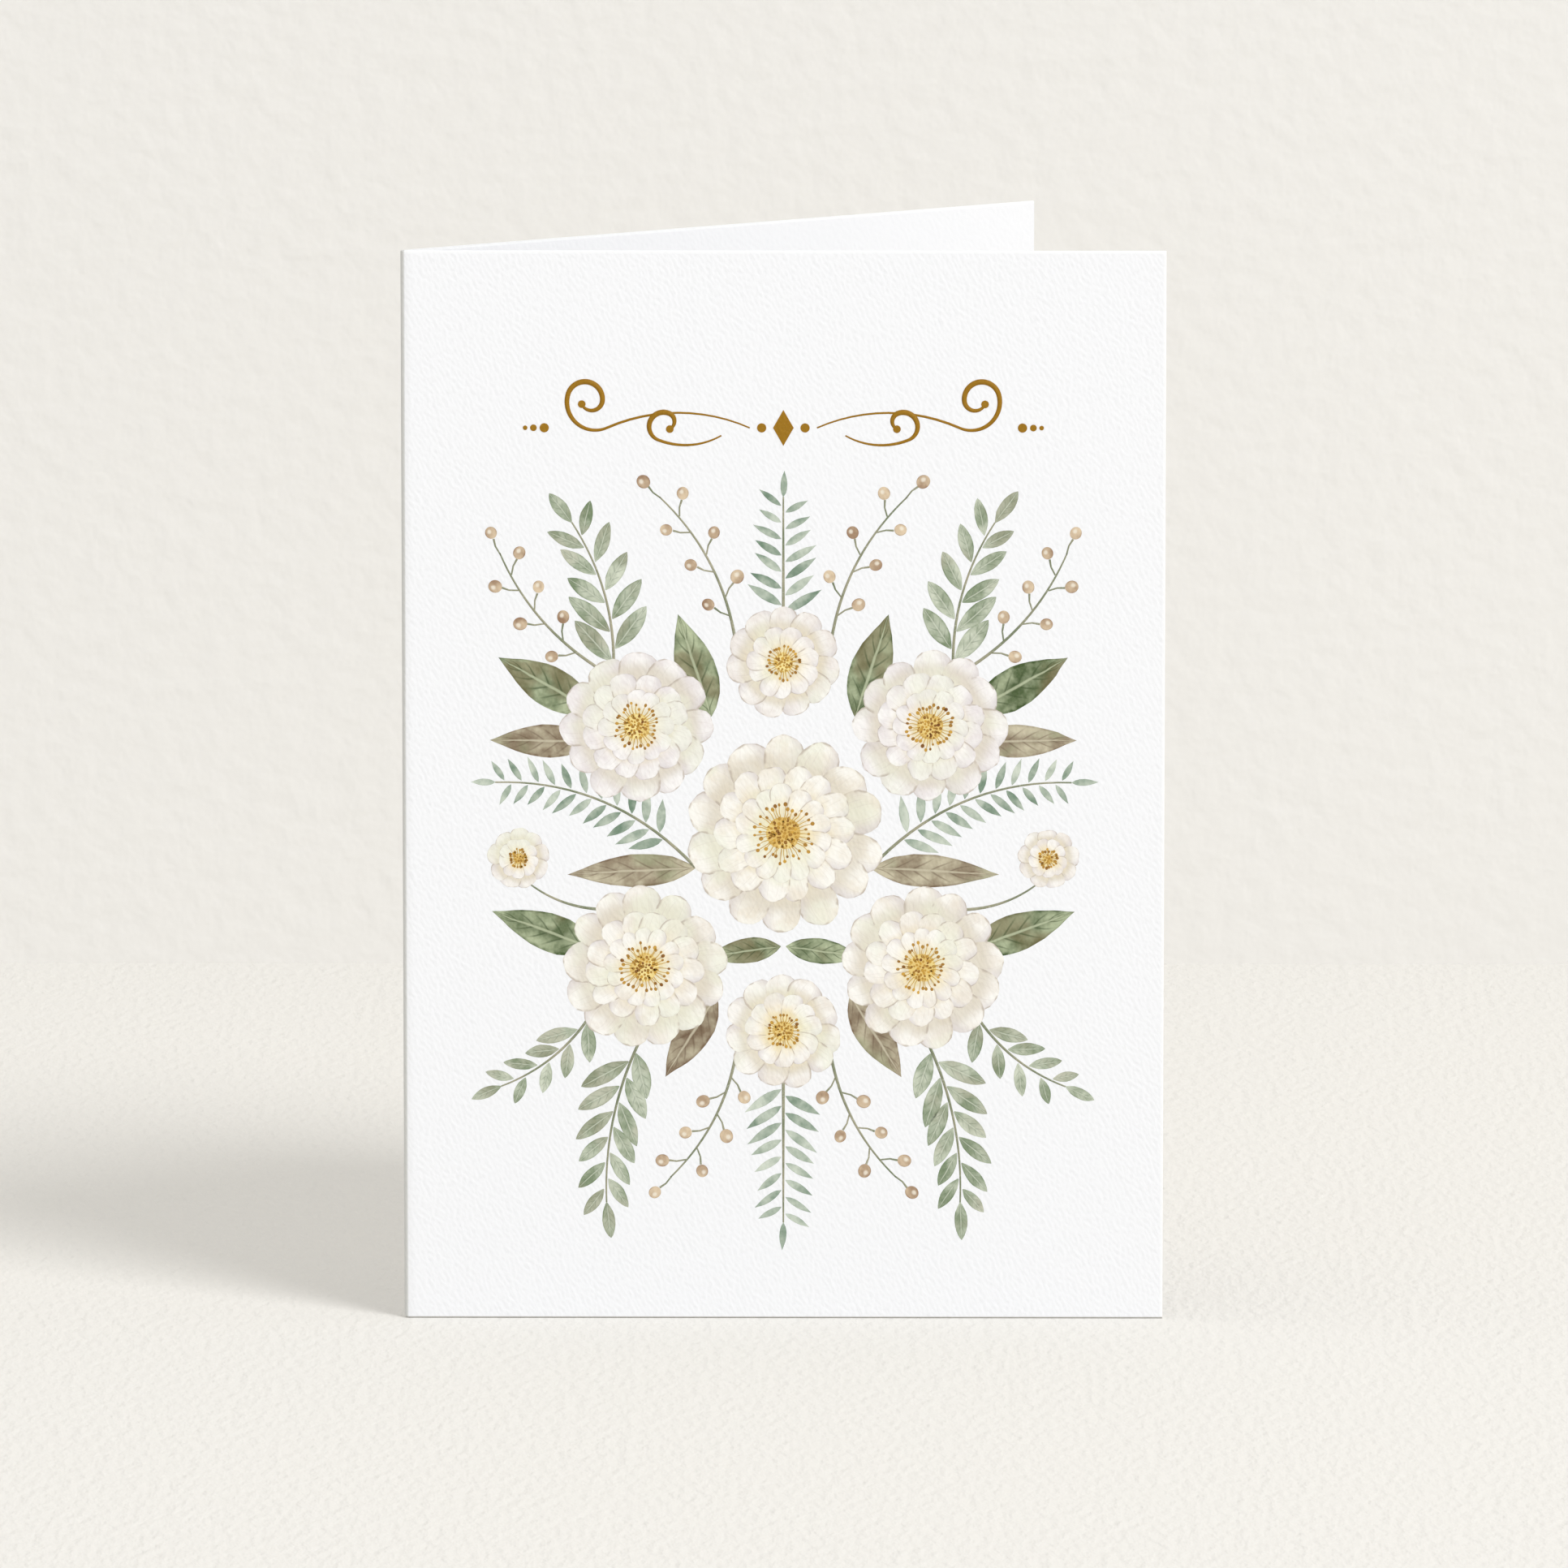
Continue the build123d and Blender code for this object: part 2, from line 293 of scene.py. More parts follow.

# %% [markdown]
# The edges are what tells a real card from a flat picture of one. The blade has pressed
# the cover's rim round at the top and at the free edge, so it catches the light, and a
# painted highlight makes it a little lighter still. Along the fold the board turns away
# from the lamp, and a painted shade draws a fine grey line there and a soft shade beside
# it. At the foot the lowest quarter of a millimetre is rounded under, and a painted shadow
# draws a thin dark line where the card meets the table. The CAD has these roundings. The
# material adds the painted highlight and shades by each point's distance from an edge, in
# metres.

# %% Rims, fold line and foot: painted highlight and shades
place = add(tree, "ShaderNodeSeparateXYZ", {0: here(tree)})
from_top = sum_of(tree, "SUBTRACT", cad_high[2], place.outputs["Z"])
from_side = sum_of(tree, "SUBTRACT", cad_high[0], place.outputs["X"])
from_rim = sum_of(tree, "MINIMUM", from_top, from_side)
# Painted highlight: the rounded rim at the top and the free edge gets a lighter colour. The same
# mask also rolls the bump there.
rim_roll_and_highlight = soft_step(tree, from_rim, 0.0006, 0.0002)
rolled = sum_of(tree, "MULTIPLY_ADD", rim_roll_and_highlight, -0.42, marks.outputs["Height"])
tree.links.new(rolled, bump.inputs["Height"])
from_fold = sum_of(tree, "SUBTRACT", place.outputs["X"], cad_low[0])
# Painted shade: a soft grey band beside the fold, where the board turns away from the lamp.
painted_shade_beside_fold = soft_step(tree, from_fold, 0.0024, 0.0007, 0.0, 0.16)
# Painted shade: a fine grey line on the fold's crest.
painted_fold_shade = soft_step(tree, from_fold, 0.0009, 0.0005)
# Painted shadow: a thin dark line along the foot, where the card meets the table.
painted_foot_shadow = soft_step(tree, place.outputs["Z"], 0.0004, 0.0002)
# A painted highlight on the rim, then painted shades at the fold and the foot.
painted_edge_light_and_shade = [
    (rim_roll_and_highlight, (247, 248, 249)),
    (painted_shade_beside_fold, (206, 206, 204)),
    (painted_fold_shade, (210, 210, 207)),
    (painted_foot_shadow, (186, 184, 178)),
]
board_colour = layered(tree, board_colour, painted_edge_light_and_shade)
tree.links.new(board_colour, shader.inputs["Base Color"])

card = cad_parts["folded_card"]
card.data.materials.clear()
card.data.materials.append(board)
print("The card has", len(card.data.polygons), "faces")

# %% [markdown]
# ## Gold ink
#
# The ornament's ink is a flat dark ochre with the dull satin of a printed gold. A metal
# shader would glitter, as foil does, so this is plain ink, slightly uneven, and thinner
# where the paper's fibres stand up.

# %% Gold ink
gold, tree, shader, marks, _ = new_finish("gold_ink", 0.55)
ink_patches = clouds(tree, here(tree), 0.004, 3.0, 0.6)
gold_colour = blend(tree, ink_patches, seen(147, 106, 8), seen(161, 117, 18))
thin = soft_step(tree, marks.outputs["Fibre"], 0.56, 0.75, 0.0, 0.25)
gold_colour = blend(tree, thin, gold_colour, seen(192, 156, 84))
tree.links.new(gold_colour, shader.inputs["Base Color"])
print("The gold ink has", len(tree.nodes), "nodes")

# %% [markdown]
# ## Where the bouquet is drawn
#
# The drawing is listed in millimetres from the middle of its foot, right half only, and
# the left half mirrors it. It is the same list that the CAD's fields of colour come from.
# A flower has a place and a radius. A stem has a foot, a tip and a bow, and then, where it
# has leaves, their length and width. A broad leaf has a foot, a direction in degrees, a
# length and a width.

# %% The drawing
mm = 0.001
bouquet_foot = 14.0
middle_flowers = [(0, 82, 19.5), (0, 43, 11.5), (0, 115.5, 11)]
side_flowers = [(28.5, 103, 15), (27, 55.5, 16), (51.5, 77, 6)]
leaf_sprigs = [
    ((33, 113), (41, 143), 2.5, 11.0, 3.6),
    ((37, 47), (55, 32), -2.0, 8.5, 2.8),
    ((28, 41), (34.5, 9), 2.0, 10.5, 3.4),
]
middle_ferns = [((0, 124), (0, 148), 0.0, 8.0, 1.9), ((0, 33), (0, 5), 0.0, 8.5, 2.0)]
side_ferns = [((22, 80), (56, 92), 3.5, 7.5, 1.9)]
berry_sprigs = [
    ((9.5, 121), (24, 148), 2.5),
    ((37.5, 115.5), (55, 137), -2.0),
    ((9.5, 37), (22, 14), -2.0),
]
flower_stalks = [((36, 67), (50, 72.5), -1.2)]
green_leaves = [
    ((14, 105), 72, 21, 8.0),
    ((37, 106), 30, 21, 8.0),
    ((36, 59), 20, 22, 7.5),
    ((0.5, 59.7), -8, 15, 5.0),
]
brown_leaves = [((37, 100), 1, 20, 6.5), ((17, 75.2), -3, 25, 6.5), ((13, 50), -58, 19, 7.0)]
print("The drawing lists", len(middle_flowers) + 2 * len(side_flowers), "flowers")


def mirrored(items):
    """Each item twice, for the right hand and for the left."""
    return [(hand, item) for item in items for hand in (1, -1)]


def on_cover(sideways, up):
    """A point of the drawing in metres, across the cover and up it."""
    return Vector((sideways, bouquet_foot + up)) * mm


# %% [markdown]
# A stem bows gently. A Bezier curve could draw it, but a parabola through its foot, its
# middle and its tip does as well, and says in one line where any point of it is. Leaves
# sit on it in pairs, a little out of step, with one at the tip, and get shorter towards it.

# %% Stems and the leaves along them
def stem_line(hand, foot, tip, bow):
    """A stem's start, its run to the tip, and how far its middle bows sideways."""
    start = on_cover(hand * foot[0], foot[1])
    return start, on_cover(hand * tip[0], tip[1]) - start, hand * bow * mm


def along_stem(stem, share):
    """The point at a share of a stem, and the stem's direction there as an angle."""
    start, run, bow = stem
    across = Vector((-run.y, run.x)).normalized()
    point = start + run * share + across * (4 * bow * share * (1 - share))
    slope = run + across * (4 * bow * (1 - 2 * share))
    return point, math.atan2(slope.y, slope.x)


def ahead(angle, distance):
    """A step of this distance in a direction."""
    return Vector((math.cos(angle), math.sin(angle))) * distance


def leaf_places(hand, stem, pitch, spread):
    """Root, direction and share of full length of each leaf on a stem."""
    pairs = max(1, round(stem[1].length / (pitch * mm)))
    clear = 0.4 * mm / math.sin(spread)
    places = []
    for number in range(pairs):
        for side in (1, -1):
            share = (number + 0.6 + 0.2 * side * hand) / (pairs + 0.4)
            point, angle = along_stem(stem, share)
            angle += side * spread
            places.append((point + ahead(angle, clear), angle, 1 - 0.4 * share))
    point, angle = along_stem(stem, 1)
    places.append((point, angle, 0.7))
    return places


# %% [markdown]
# ## One film to print with
#
# Petals, leaves and dots are all thin films with an outline. A filled curve would give the
# shape alone. So each is a small grid that grows along +X, from 0 at its root to 1 at its
# tip, and is as wide at each step as its outline says. The grid has an upper and a lower
# side and a wall round them, so it is closed. Its UV map keeps how far along and how far
# across each corner is, which the paints read to put veins, edges and shading in place.

# %% Films
least_half_width = 0.004  # as a share of the widest, so that no corners meet at a tip


def lerp_outline(outline, along):
    """The half width at a share of the length, from a list of (share, half width)."""
    for (start, low), (end, high) in zip(outline, outline[1:]):
        if along <= end:
            return low + (high - low) * (along - start) / (end - start)
    return outline[-1][1]


def new_film(name, outline, rows=12, columns=6, lean=0.0):
    """A closed film of length 1, half width up to 0.5 and thickness 1.

    A film that leans is thicker on one side by this share, and thinner on the other.
    """
    corners, places = [], []
    for height in (0, 1):
        for row in range(rows + 1):
            along = 0.5 - 0.5 * math.cos(math.pi * row / rows)
            half = max(lerp_outline(outline, along), least_half_width)
            for column in range(columns + 1):
                across = 2 * column / columns - 1
                corners.append((along, across * half / 2, height * (1 + lean * across)))
                places.append((along, across / 2 + 0.5))
    width, level = columns + 1, (rows + 1) * (columns + 1)
    faces = []
    for row in range(rows):
        for column in range(columns):
            a = row * width + column
            faces.append((a, a + 1, a + width + 1, a + width))
            faces.append(tuple(level + i for i in (a, a + width, a + width + 1, a + 1)))
    ring = list(range(columns))
    ring += [row * width + columns for row in range(rows)]
    ring += [rows * width + column for column in range(columns, 0, -1)]
    ring += [row * width for row in range(rows, 0, -1)]
    for a, b in zip(ring, ring[1:] + ring[:1]):
        faces.append((b, a, level + a, level + b))
    mesh = bpy.data.meshes.new(name)
    mesh.from_pydata(corners, [], faces)
    uv_map = mesh.uv_layers.new(name="UVMap")
    for loop in mesh.loops:
        uv_map.data[loop.index].uv = places[loop.vertex_index]
    return new_object(name, mesh)


# %% [markdown]
# An outline is a short list of how wide a film is at some shares of its length. A petal is
# widest beyond its middle and ends round, while a leaf is widest before its middle and ends
# in a point. A disc needs no list by hand: its widths are the sines round half a circle.

# %% Outlines
round_outline = [(0.5 - 0.5 * math.cos(a), math.sin(a)) for a in
                 [math.pi * step / 12 for step in range(13)]]
petal_outline = [(0, 0.34), (0.2, 0.56), (0.42, 0.82), (0.62, 0.97), (0.75, 1.0), (0.86, 0.92),
                 (0.94, 0.68), (0.98, 0.4), (1, 0.1)]
leaf_outline = [(0, 0.03), (0.08, 0.42), (0.2, 0.8), (0.34, 0.98), (0.48, 1.0), (0.64, 0.84),
                (0.8, 0.52), (0.92, 0.2), (1, 0.0)]
sprig_outline = [(0, 0.06), (0.1, 0.4), (0.26, 0.8), (0.44, 1.0), (0.6, 0.98), (0.78, 0.74),
                 (0.92, 0.38), (1, 0.02)]
fern_outline = [(0, 0.05), (0.15, 0.6), (0.4, 1.0), (0.7, 0.7), (1, 0.0)]
print("The petal's outline has", len(petal_outline), "widths")

# %% [markdown]
# ## Printing a film in many places
#
# What repeats could be copied in Python, but Geometry Nodes does it in one tree that can
# be opened and tried out. The tree takes a cloud of points, one for each petal or leaf,
# whose attributes say its direction, length, width and thickness. It puts a copy of the
# film on each, in a flat drawing. Attributes that the tree doesn't use, such as a leaf's
# own tone, travel with the copies to the paint.

# %% The printing tree
cover_y = -0.0413578  # the plane of the cover's face
sunk = 0.004 * mm  # each film starts this far inside the board
brush_noise_per_metre = 320.0

printing, print_in, print_out = new_group(
    "GeometryNodeTree",
    "print films on the cover",
    [
        ("Points", "Geometry", None),
        ("Film", "Object", None),
        ("Wobble", "Float", 0.3 * mm),
        ("Seed", "Float", 0.0),
        ("Paint", "Material", None),
    ],
    [("Films", "Geometry")],
)


def named(tree, name):
    """The value that each point holds under a name."""
    return add(tree, "GeometryNodeInputNamedAttribute", {"Name": name}).outputs["Attribute"]


film_shape = add(printing, "GeometryNodeObjectInfo", {"Object": print_in.outputs["Film"]})
turn = add(printing, "ShaderNodeCombineXYZ", {"Z": named(printing, "turn")})
size = add(
    printing,
    "ShaderNodeCombineXYZ",
    {"X": named(printing, "long"), "Y": named(printing, "wide"), "Z": named(printing, "lift")},
)
copies = add(
    printing,
    "GeometryNodeInstanceOnPoints",
    {
        "Points": print_in.outputs["Points"],
        "Instance": film_shape.outputs["Geometry"],
        "Rotation": add(printing, "FunctionNodeEulerToRotation", {0: turn.outputs[0]}).outputs[0],
        "Scale": size.outputs[0],
    },
)
real = add(printing, "GeometryNodeRealizeInstances", {"Geometry": copies.outputs[0]})
print("The copies need", len(printing.nodes), "nodes")

# %% [markdown]
# A brush never follows an outline exactly. Corners could be moved at random, but that
# would fray the outline, so smooth noise moves neighbouring corners together, by an input's
# part of a millimetre. The last two nodes stand the flat drawing up against the cover and
# give it its paint. The stems' tree below ends in the same two.

# %% Wobble, and how a tree ends
def stand_up(tree, flat, y, paint):
    """Stands a flat drawing up at this Y, where it faces -Y, and gives it its paint."""
    stood = add(
        tree,
        "GeometryNodeTransform",
        {
            "Geometry": flat,
            "Translation": add(tree, "ShaderNodeCombineXYZ", {"Y": y}).outputs[0],
            "Rotation": (math.radians(90), 0, 0),
        },
    )
    painted = add(
        tree, "GeometryNodeSetMaterial", {"Geometry": stood.outputs[0], "Material": paint}
    )
    return painted.outputs[0]


brush = add(
    printing,
    "ShaderNodeTexNoise",
    {
        "Vector": add(printing, "GeometryNodeInputPosition").outputs[0],
        "W": print_in.outputs["Seed"],
        "Scale": brush_noise_per_metre,
        "Detail": 1.0,
    },
    noise_dimensions="4D",
)
middle = add(
    printing,
    "ShaderNodeVectorMath",
    {0: brush.outputs["Color"], 1: (0.5, 0.5, 0.5)},
    operation="SUBTRACT",
)
reach = add(
    printing,
    "ShaderNodeCombineXYZ",
    {"X": print_in.outputs["Wobble"], "Y": print_in.outputs["Wobble"]},
)
shake = add(
    printing,
    "ShaderNodeVectorMath",
    {0: middle.outputs[0], 1: reach.outputs[0]},
    operation="MULTIPLY",
)
drawn = add(
    printing, "GeometryNodeSetPosition", {"Geometry": real.outputs[0], "Offset": shake.outputs[0]}
)
printed_films = stand_up(
    printing, drawn.outputs[0], cover_y + sunk, print_in.outputs["Paint"]
)
printing.links.new(printed_films, print_out.inputs["Films"])
print("The printing tree has", len(printing.nodes), "nodes")

# %% [markdown]
# A modifier's inputs are set by each socket's identifier, before the object is first
# evaluated. The evaluated result then becomes the piece's plain mesh, and the modifier
# goes, because a finished piece holds its shape in its mesh alone.

# %% Run a tree and keep its mesh
def run_tree(name, mesh, tree, values):
    """An object whose mesh is what a Geometry Nodes tree makes of the given one."""
    piece = new_object(name, mesh)
    modifier = piece.modifiers.new(tree.name, "NODES")
    modifier.node_group = tree
    for socket_name, value in values.items():
        modifier[tree.interface.items_tree[socket_name].identifier] = value
    piece.update_tag()
    shown = piece.evaluated_get(bpy.context.evaluated_depsgraph_get())
    made = bpy.data.meshes.new_from_object(shown)
    piece.modifiers.clear()
    piece.data = made
    made.name = name
    return piece


def film_at(point, angle, long, wide, thick, **paint_values):
    """A film's place: its root in metres, its direction, and its sizes in millimetres."""
    sizes = {"long": long * mm, "wide": wide * mm, "lift": thick * mm}
    return {"at": point, "turn": angle, **sizes, **paint_values}


def print_films(name, film, places, paint, wobble, seed):
    """Prints a film at each place, as one piece, with outlines that wobble by millimetres."""
    mesh = bpy.data.meshes.new(name + "_points")
    mesh.from_pydata([(*place["at"], 0) for place in places], [], [])
    for key in places[0]:
        if key != "at":
            attribute = mesh.attributes.new(key, "FLOAT", "POINT")
            attribute.data.foreach_set("value", [place[key] for place in places])
    values = {"Film": film, "Wobble": wobble * mm, "Seed": seed, "Paint": paint}
    piece = run_tree(name, mesh, printing, values)
    print(name, "has", len(places), "films and", len(piece.data.polygons), "faces")
    return piece


# %% [markdown]
# ## Watercolour
#
# All the paints share what watercolour does on paper: pigment flows into cloudy blooms,
# grains settle in the paper, and a darker line dries along each outline. Each paint could
# have its own nodes for that, but one group keeps them alike. It takes two shades of a
# paint and gives their mixture. Each film's own tone shifts the clouds and how strong the
# wash is, so no two leaves look alike.

# %% Watercolour, as a group
wash, wash_in, wash_out = new_group(
    "ShaderNodeTree",
    "watercolour",
    [
        ("Deep", "Color", seen(96, 118, 92)),
        ("Pale", "Color", seen(206, 212, 198)),
        ("Strength", "Float", 0.5),
        ("Outline", "Float", 0.5),
    ],
    [
        ("Color", "Color"),
        ("Along", "Float"),
        ("Across", "Float"),
        ("Edge", "Float"),
        ("Cloud", "Float"),
    ],
)
uv = add(wash, "ShaderNodeSeparateXYZ", {0: on_film(wash)})
along = uv.outputs["X"]
across = sum_of(wash, "MULTIPLY_ADD", uv.outputs["Y"], 2.0, -1.0)
off_middle = sum_of(wash, "ABSOLUTE", across)
tone = kept(wash, "tone")
wash_place = here(wash)
shift = add(wash, "ShaderNodeCombineXYZ", {"Y": sum_of(wash, "MULTIPLY", tone, 0.7)})
shifted = add(wash, "ShaderNodeVectorMath", {0: wash_place, 1: shift.outputs[0]})
blooms = clouds(wash, shifted.outputs[0], 0.0042, 3.0, 0.55)
grains = clouds(wash, wash_place, 0.00042, 2.0, 0.7)
cloud = soft_step(wash, blooms, 0.32, 0.68)
strength = sum_of(wash, "MULTIPLY_ADD", tone, 0.36, wash_in.outputs["Strength"])
strength = sum_of(wash, "SUBTRACT", strength, 0.18)
amount = sum_of(wash, "MULTIPLY_ADD", cloud, 0.7, sum_of(wash, "SUBTRACT", strength, 0.35))
amount = sum_of(wash, "MULTIPLY_ADD", grains, 0.24, sum_of(wash, "SUBTRACT", amount, 0.12))
side_edge = soft_step(wash, off_middle, 0.78, 1.0)
tip_edge = soft_step(wash, along, 0.955, 1.0)
edge = sum_of(wash, "MAXIMUM", side_edge, tip_edge)
uneven = soft_step(wash, clouds(wash, shifted.outputs[0], 0.0016, 1.0), 0.35, 0.65, 0.25, 1.0)
edge = sum_of(wash, "MULTIPLY", edge, uneven)
dried = sum_of(wash, "MULTIPLY", edge, wash_in.outputs["Outline"])
amount = sum_of(wash, "MULTIPLY_ADD", dried, 0.8, amount)
held = add(wash, "ShaderNodeClamp", {"Value": amount}).outputs[0]
wash_colour = blend(wash, held, wash_in.outputs["Pale"], wash_in.outputs["Deep"])
results = {"Color": wash_colour, "Along": along, "Across": across, "Edge": edge, "Cloud": cloud}
for socket_name, value in results.items():
    wash.links.new(value, wash_out.inputs[socket_name])
print("The watercolour group has", len(wash.nodes), "nodes")

# %% [markdown]
# A paint is then the paper's finish with this group's colour. Its two shades, the strength
# of its wash and how dark its outline dries are all that a flower or a leaf has to say.

# %% A paint with this wash
def new_paint(name, deep, pale, strength, outline):
    """A watercolour material, its tree, its shader and its wash."""
    material, tree, shader, *_ = new_finish(name, 0.8)
    values = {"Deep": deep, "Pale": pale, "Strength": strength, "Outline": outline}
    laid = add(tree, "ShaderNodeGroup", node_tree=wash)
    for socket_name, value in values.items():
        laid.inputs[socket_name].default_value = value
    tree.links.new(laid.outputs["Color"], shader.inputs["Base Color"])
    return material, tree, shader, laid


# %% [markdown]
# ## Leaves
#
# A leaf's wash is darker beside its midrib and has fine side veins that run forward to
# the edge. Veins could be strokes of their own, but they bend and shrink with each leaf if
# they are stripes of its paint: how far along, less how far across, repeated. The midrib
# itself is left pale, where a painter keeps the paper dry.

# %% Leaf paint
def add_veins(tree, shader, laid, vein, midrib, count, depth, second, second_share):
    """Draws a second colour's patches, side veins and a midrib over a leaf's wash."""
    patches = clouds(tree, here(tree), 0.009, 2.0)
    patch = soft_step(tree, patches, 0.48, 0.64, 0.0, second_share)
    aside = sum_of(tree, "ABSOLUTE", laid.outputs["Across"])
    slanted = sum_of(tree, "MULTIPLY_ADD", aside, -0.22, laid.outputs["Along"])
    wave = sum_of(tree, "SINE", sum_of(tree, "MULTIPLY", slanted, count * 2 * math.pi))
    stripe = soft_step(tree, wave, 0.72, 1.0, 0.0, depth)
    fading = soft_step(tree, aside, 0.95, 0.35)
    stripe = sum_of(tree, "MULTIPLY", stripe, fading)
    beside = soft_step(tree, aside, 0.42, 0.06, 0.0, depth * 0.55)
    rib = soft_step(tree, aside, 0.1, 0.03, 0.0, 0.75)
    layers = [(patch, second), (stripe, vein), (beside, vein), (rib, midrib)]
    colour = layered(tree, laid.outputs["Color"], layers)
    tree.links.new(colour, shader.inputs["Base Color"])


leaf_green, tree, shader, laid = new_paint(
    "leaf_green_paint", seen(72, 91, 52), seen(190, 200, 166), 0.54, 0.6
)
green_vein, green_rib = (64, 80, 48), (190, 198, 166)
add_veins(tree, shader, laid, green_vein, green_rib, 7, 0.6, (128, 114, 82), 0.6)
leaf_brown, tree, shader, laid = new_paint(
    "leaf_brown_paint", seen(122, 102, 80), seen(204, 196, 170), 0.52, 0.6
)
brown_vein, brown_rib = (106, 86, 68), (204, 196, 172)
add_veins(tree, shader, laid, brown_vein, brown_rib, 7, 0.5, (152, 158, 124), 0.6)
sprig_green, tree, shader, laid = new_paint(
    "sprig_paint", seen(118, 136, 104), seen(212, 218, 200), 0.5, 0.5
)
sprig_vein, sprig_rib = (102, 118, 96), (206, 212, 194)
add_veins(tree, shader, laid, sprig_vein, sprig_rib, 5, 0.4, (168, 160, 140), 0.4)
fern_green, *_ = new_paint(
    "fern_paint", seen(116, 140, 120), seen(210, 218, 204), 0.5, 0.45
)
print("A leaf's paint has", len(tree.nodes), "nodes")

# %% [markdown]
# ## Broad leaves
#
# Two kinds of broad leaf, a green and a mauve-brown one, stand out between the flowers.
# They are single films, so their places are simply the list's. Films that could touch
# each other have slightly different thicknesses, so that no two faces lie in one plane.
# The random numbers start from one seed, so each run gives the same drawing.

# %% Broad leaves
random.seed(7)
thickness = {
    "green leaf": 0.014,
    "brown leaf": 0.016,
    "fern": 0.017,
    "sprig": 0.02,
    "berry": 0.024,
    "petal": 0.03,
    "heart": 0.05,
    "gold": 0.05,
    "stamen": 0.053,
}


def broad_leaf_places(leaves, thick):
    """Each broad leaf with its mirror image."""
    places = []
    for hand, (foot, direction, length, width) in mirrored(leaves):
        root = on_cover(hand * foot[0], foot[1])
        angle = math.radians(direction if hand > 0 else 180 - direction)
        places.append(film_at(root, angle, length, width, thick, tone=random.random()))
    return places


leaf_film = new_film("leaf_film", leaf_outline, 18, 8)
green_places = broad_leaf_places(green_leaves, thickness["green leaf"])
green_piece = print_films("green_leaves", leaf_film, green_places, leaf_green, 0.5, 1.0)
brown_places = broad_leaf_places(brown_leaves, thickness["brown leaf"])
brown_piece = print_films("brown_leaves", leaf_film, brown_places, leaf_brown, 0.5, 2.0)

# %% [markdown]
# ## Sprigs and ferns
#
# A sprig and a fern frond differ only in how close their leaves stand, how far these
# spread from the stem and how wide they are. So one helper lists the leaves of both, each
# a little off in direction, length and tone, as painted ones are.

# %% Sprigs and ferns
def stem_leaf_places(items, pitch, spread, thick, width_scale):
    """The leaves of each sprig or fern in a list of (hand, stem and leaf size)."""
    places = []
    for hand, (foot, tip, bow, length, width) in items:
        stem = stem_line(hand, foot, tip, bow)
        for point, angle, share in leaf_places(hand, stem, pitch, math.radians(spread)):
            places.append(
                film_at(
                    point,
                    angle + random.uniform(-0.09, 0.09),
                    length * share * random.uniform(0.9, 1.06),
                    width * share * width_scale,
                    thick + random.uniform(0, 0.002),
                    tone=random.random(),
                )
            )
    return places


sprig_film = new_film("sprig_film", sprig_outline, 12, 6)
fern_film = new_film("fern_film", fern_outline, 8, 4)
sprig_places = stem_leaf_places(mirrored(leaf_sprigs), 5.9, 40, thickness["sprig"], 1.08)
sprig_piece = print_films("sprig_leaves", sprig_film, sprig_places, sprig_green, 0.35, 3.0)
ferns = [(1, fern) for fern in middle_ferns] + mirrored(side_ferns)
fern_places = stem_leaf_places(ferns, 3.3, 58, thickness["fern"], 1.1)
fern_piece = print_films("fern_leaves", fern_film, fern_places, fern_green, 0.25, 4.0)

# %% [markdown]
# ## Stems
#
# A brush starts a stem with some weight and lifts off towards its tip. A curve's own bevel
# could draw it, but leaves its shape in the curve's settings. So a second tree follows
# each stem's line with a flat section whose width comes from a number kept at each point
# of the line.

# %% The stroke tree
strokes, stroke_in, stroke_out = new_group(
    "GeometryNodeTree",
    "brush strokes on the cover",
    [
        ("Lines", "Geometry", None),
        ("Thickness share", "Float", 0.05),
        ("Lift", "Float", 0.0),
        ("Paint", "Material", None),
    ],
    [("Strokes", "Geometry")],
)
line = add(strokes, "GeometryNodeMeshToCurve", {"Mesh": stroke_in.outputs["Lines"]})
level_line = add(strokes, "GeometryNodeSetCurveNormal", {"Curve": line.outputs[0]}, mode="Z_UP")
section = add(
    strokes,
    "GeometryNodeCurvePrimitiveQuadrilateral",
    {"Width": 1.0, "Height": stroke_in.outputs["Thickness share"]},
)
ribbon = add(
    strokes,
    "GeometryNodeCurveToMesh",
    {
        "Curve": level_line.outputs[0],
        "Profile Curve": section.outputs[0],
        "Scale": named(strokes, "width"),
        "Fill Caps": True,
    },
)
ribbon_real = add(strokes, "GeometryNodeRealizeInstances", {"Geometry": ribbon.outputs[0]})
forward = sum_of(strokes, "SUBTRACT", cover_y, stroke_in.outputs["Lift"])
drawn_strokes = stand_up(
    strokes, ribbon_real.outputs[0], forward, stroke_in.outputs["Paint"]
)
strokes.links.new(drawn_strokes, stroke_out.inputs["Strokes"])
print("The stroke tree has", len(strokes.nodes), "nodes")

# %% [markdown]
# A line reaches the tree as a chain of points, each with its own width. A line could keep
# one width, but a brush or a pen presses harder in the middle of a stroke, so three widths
# are given for each line, and a sine swells it between them.

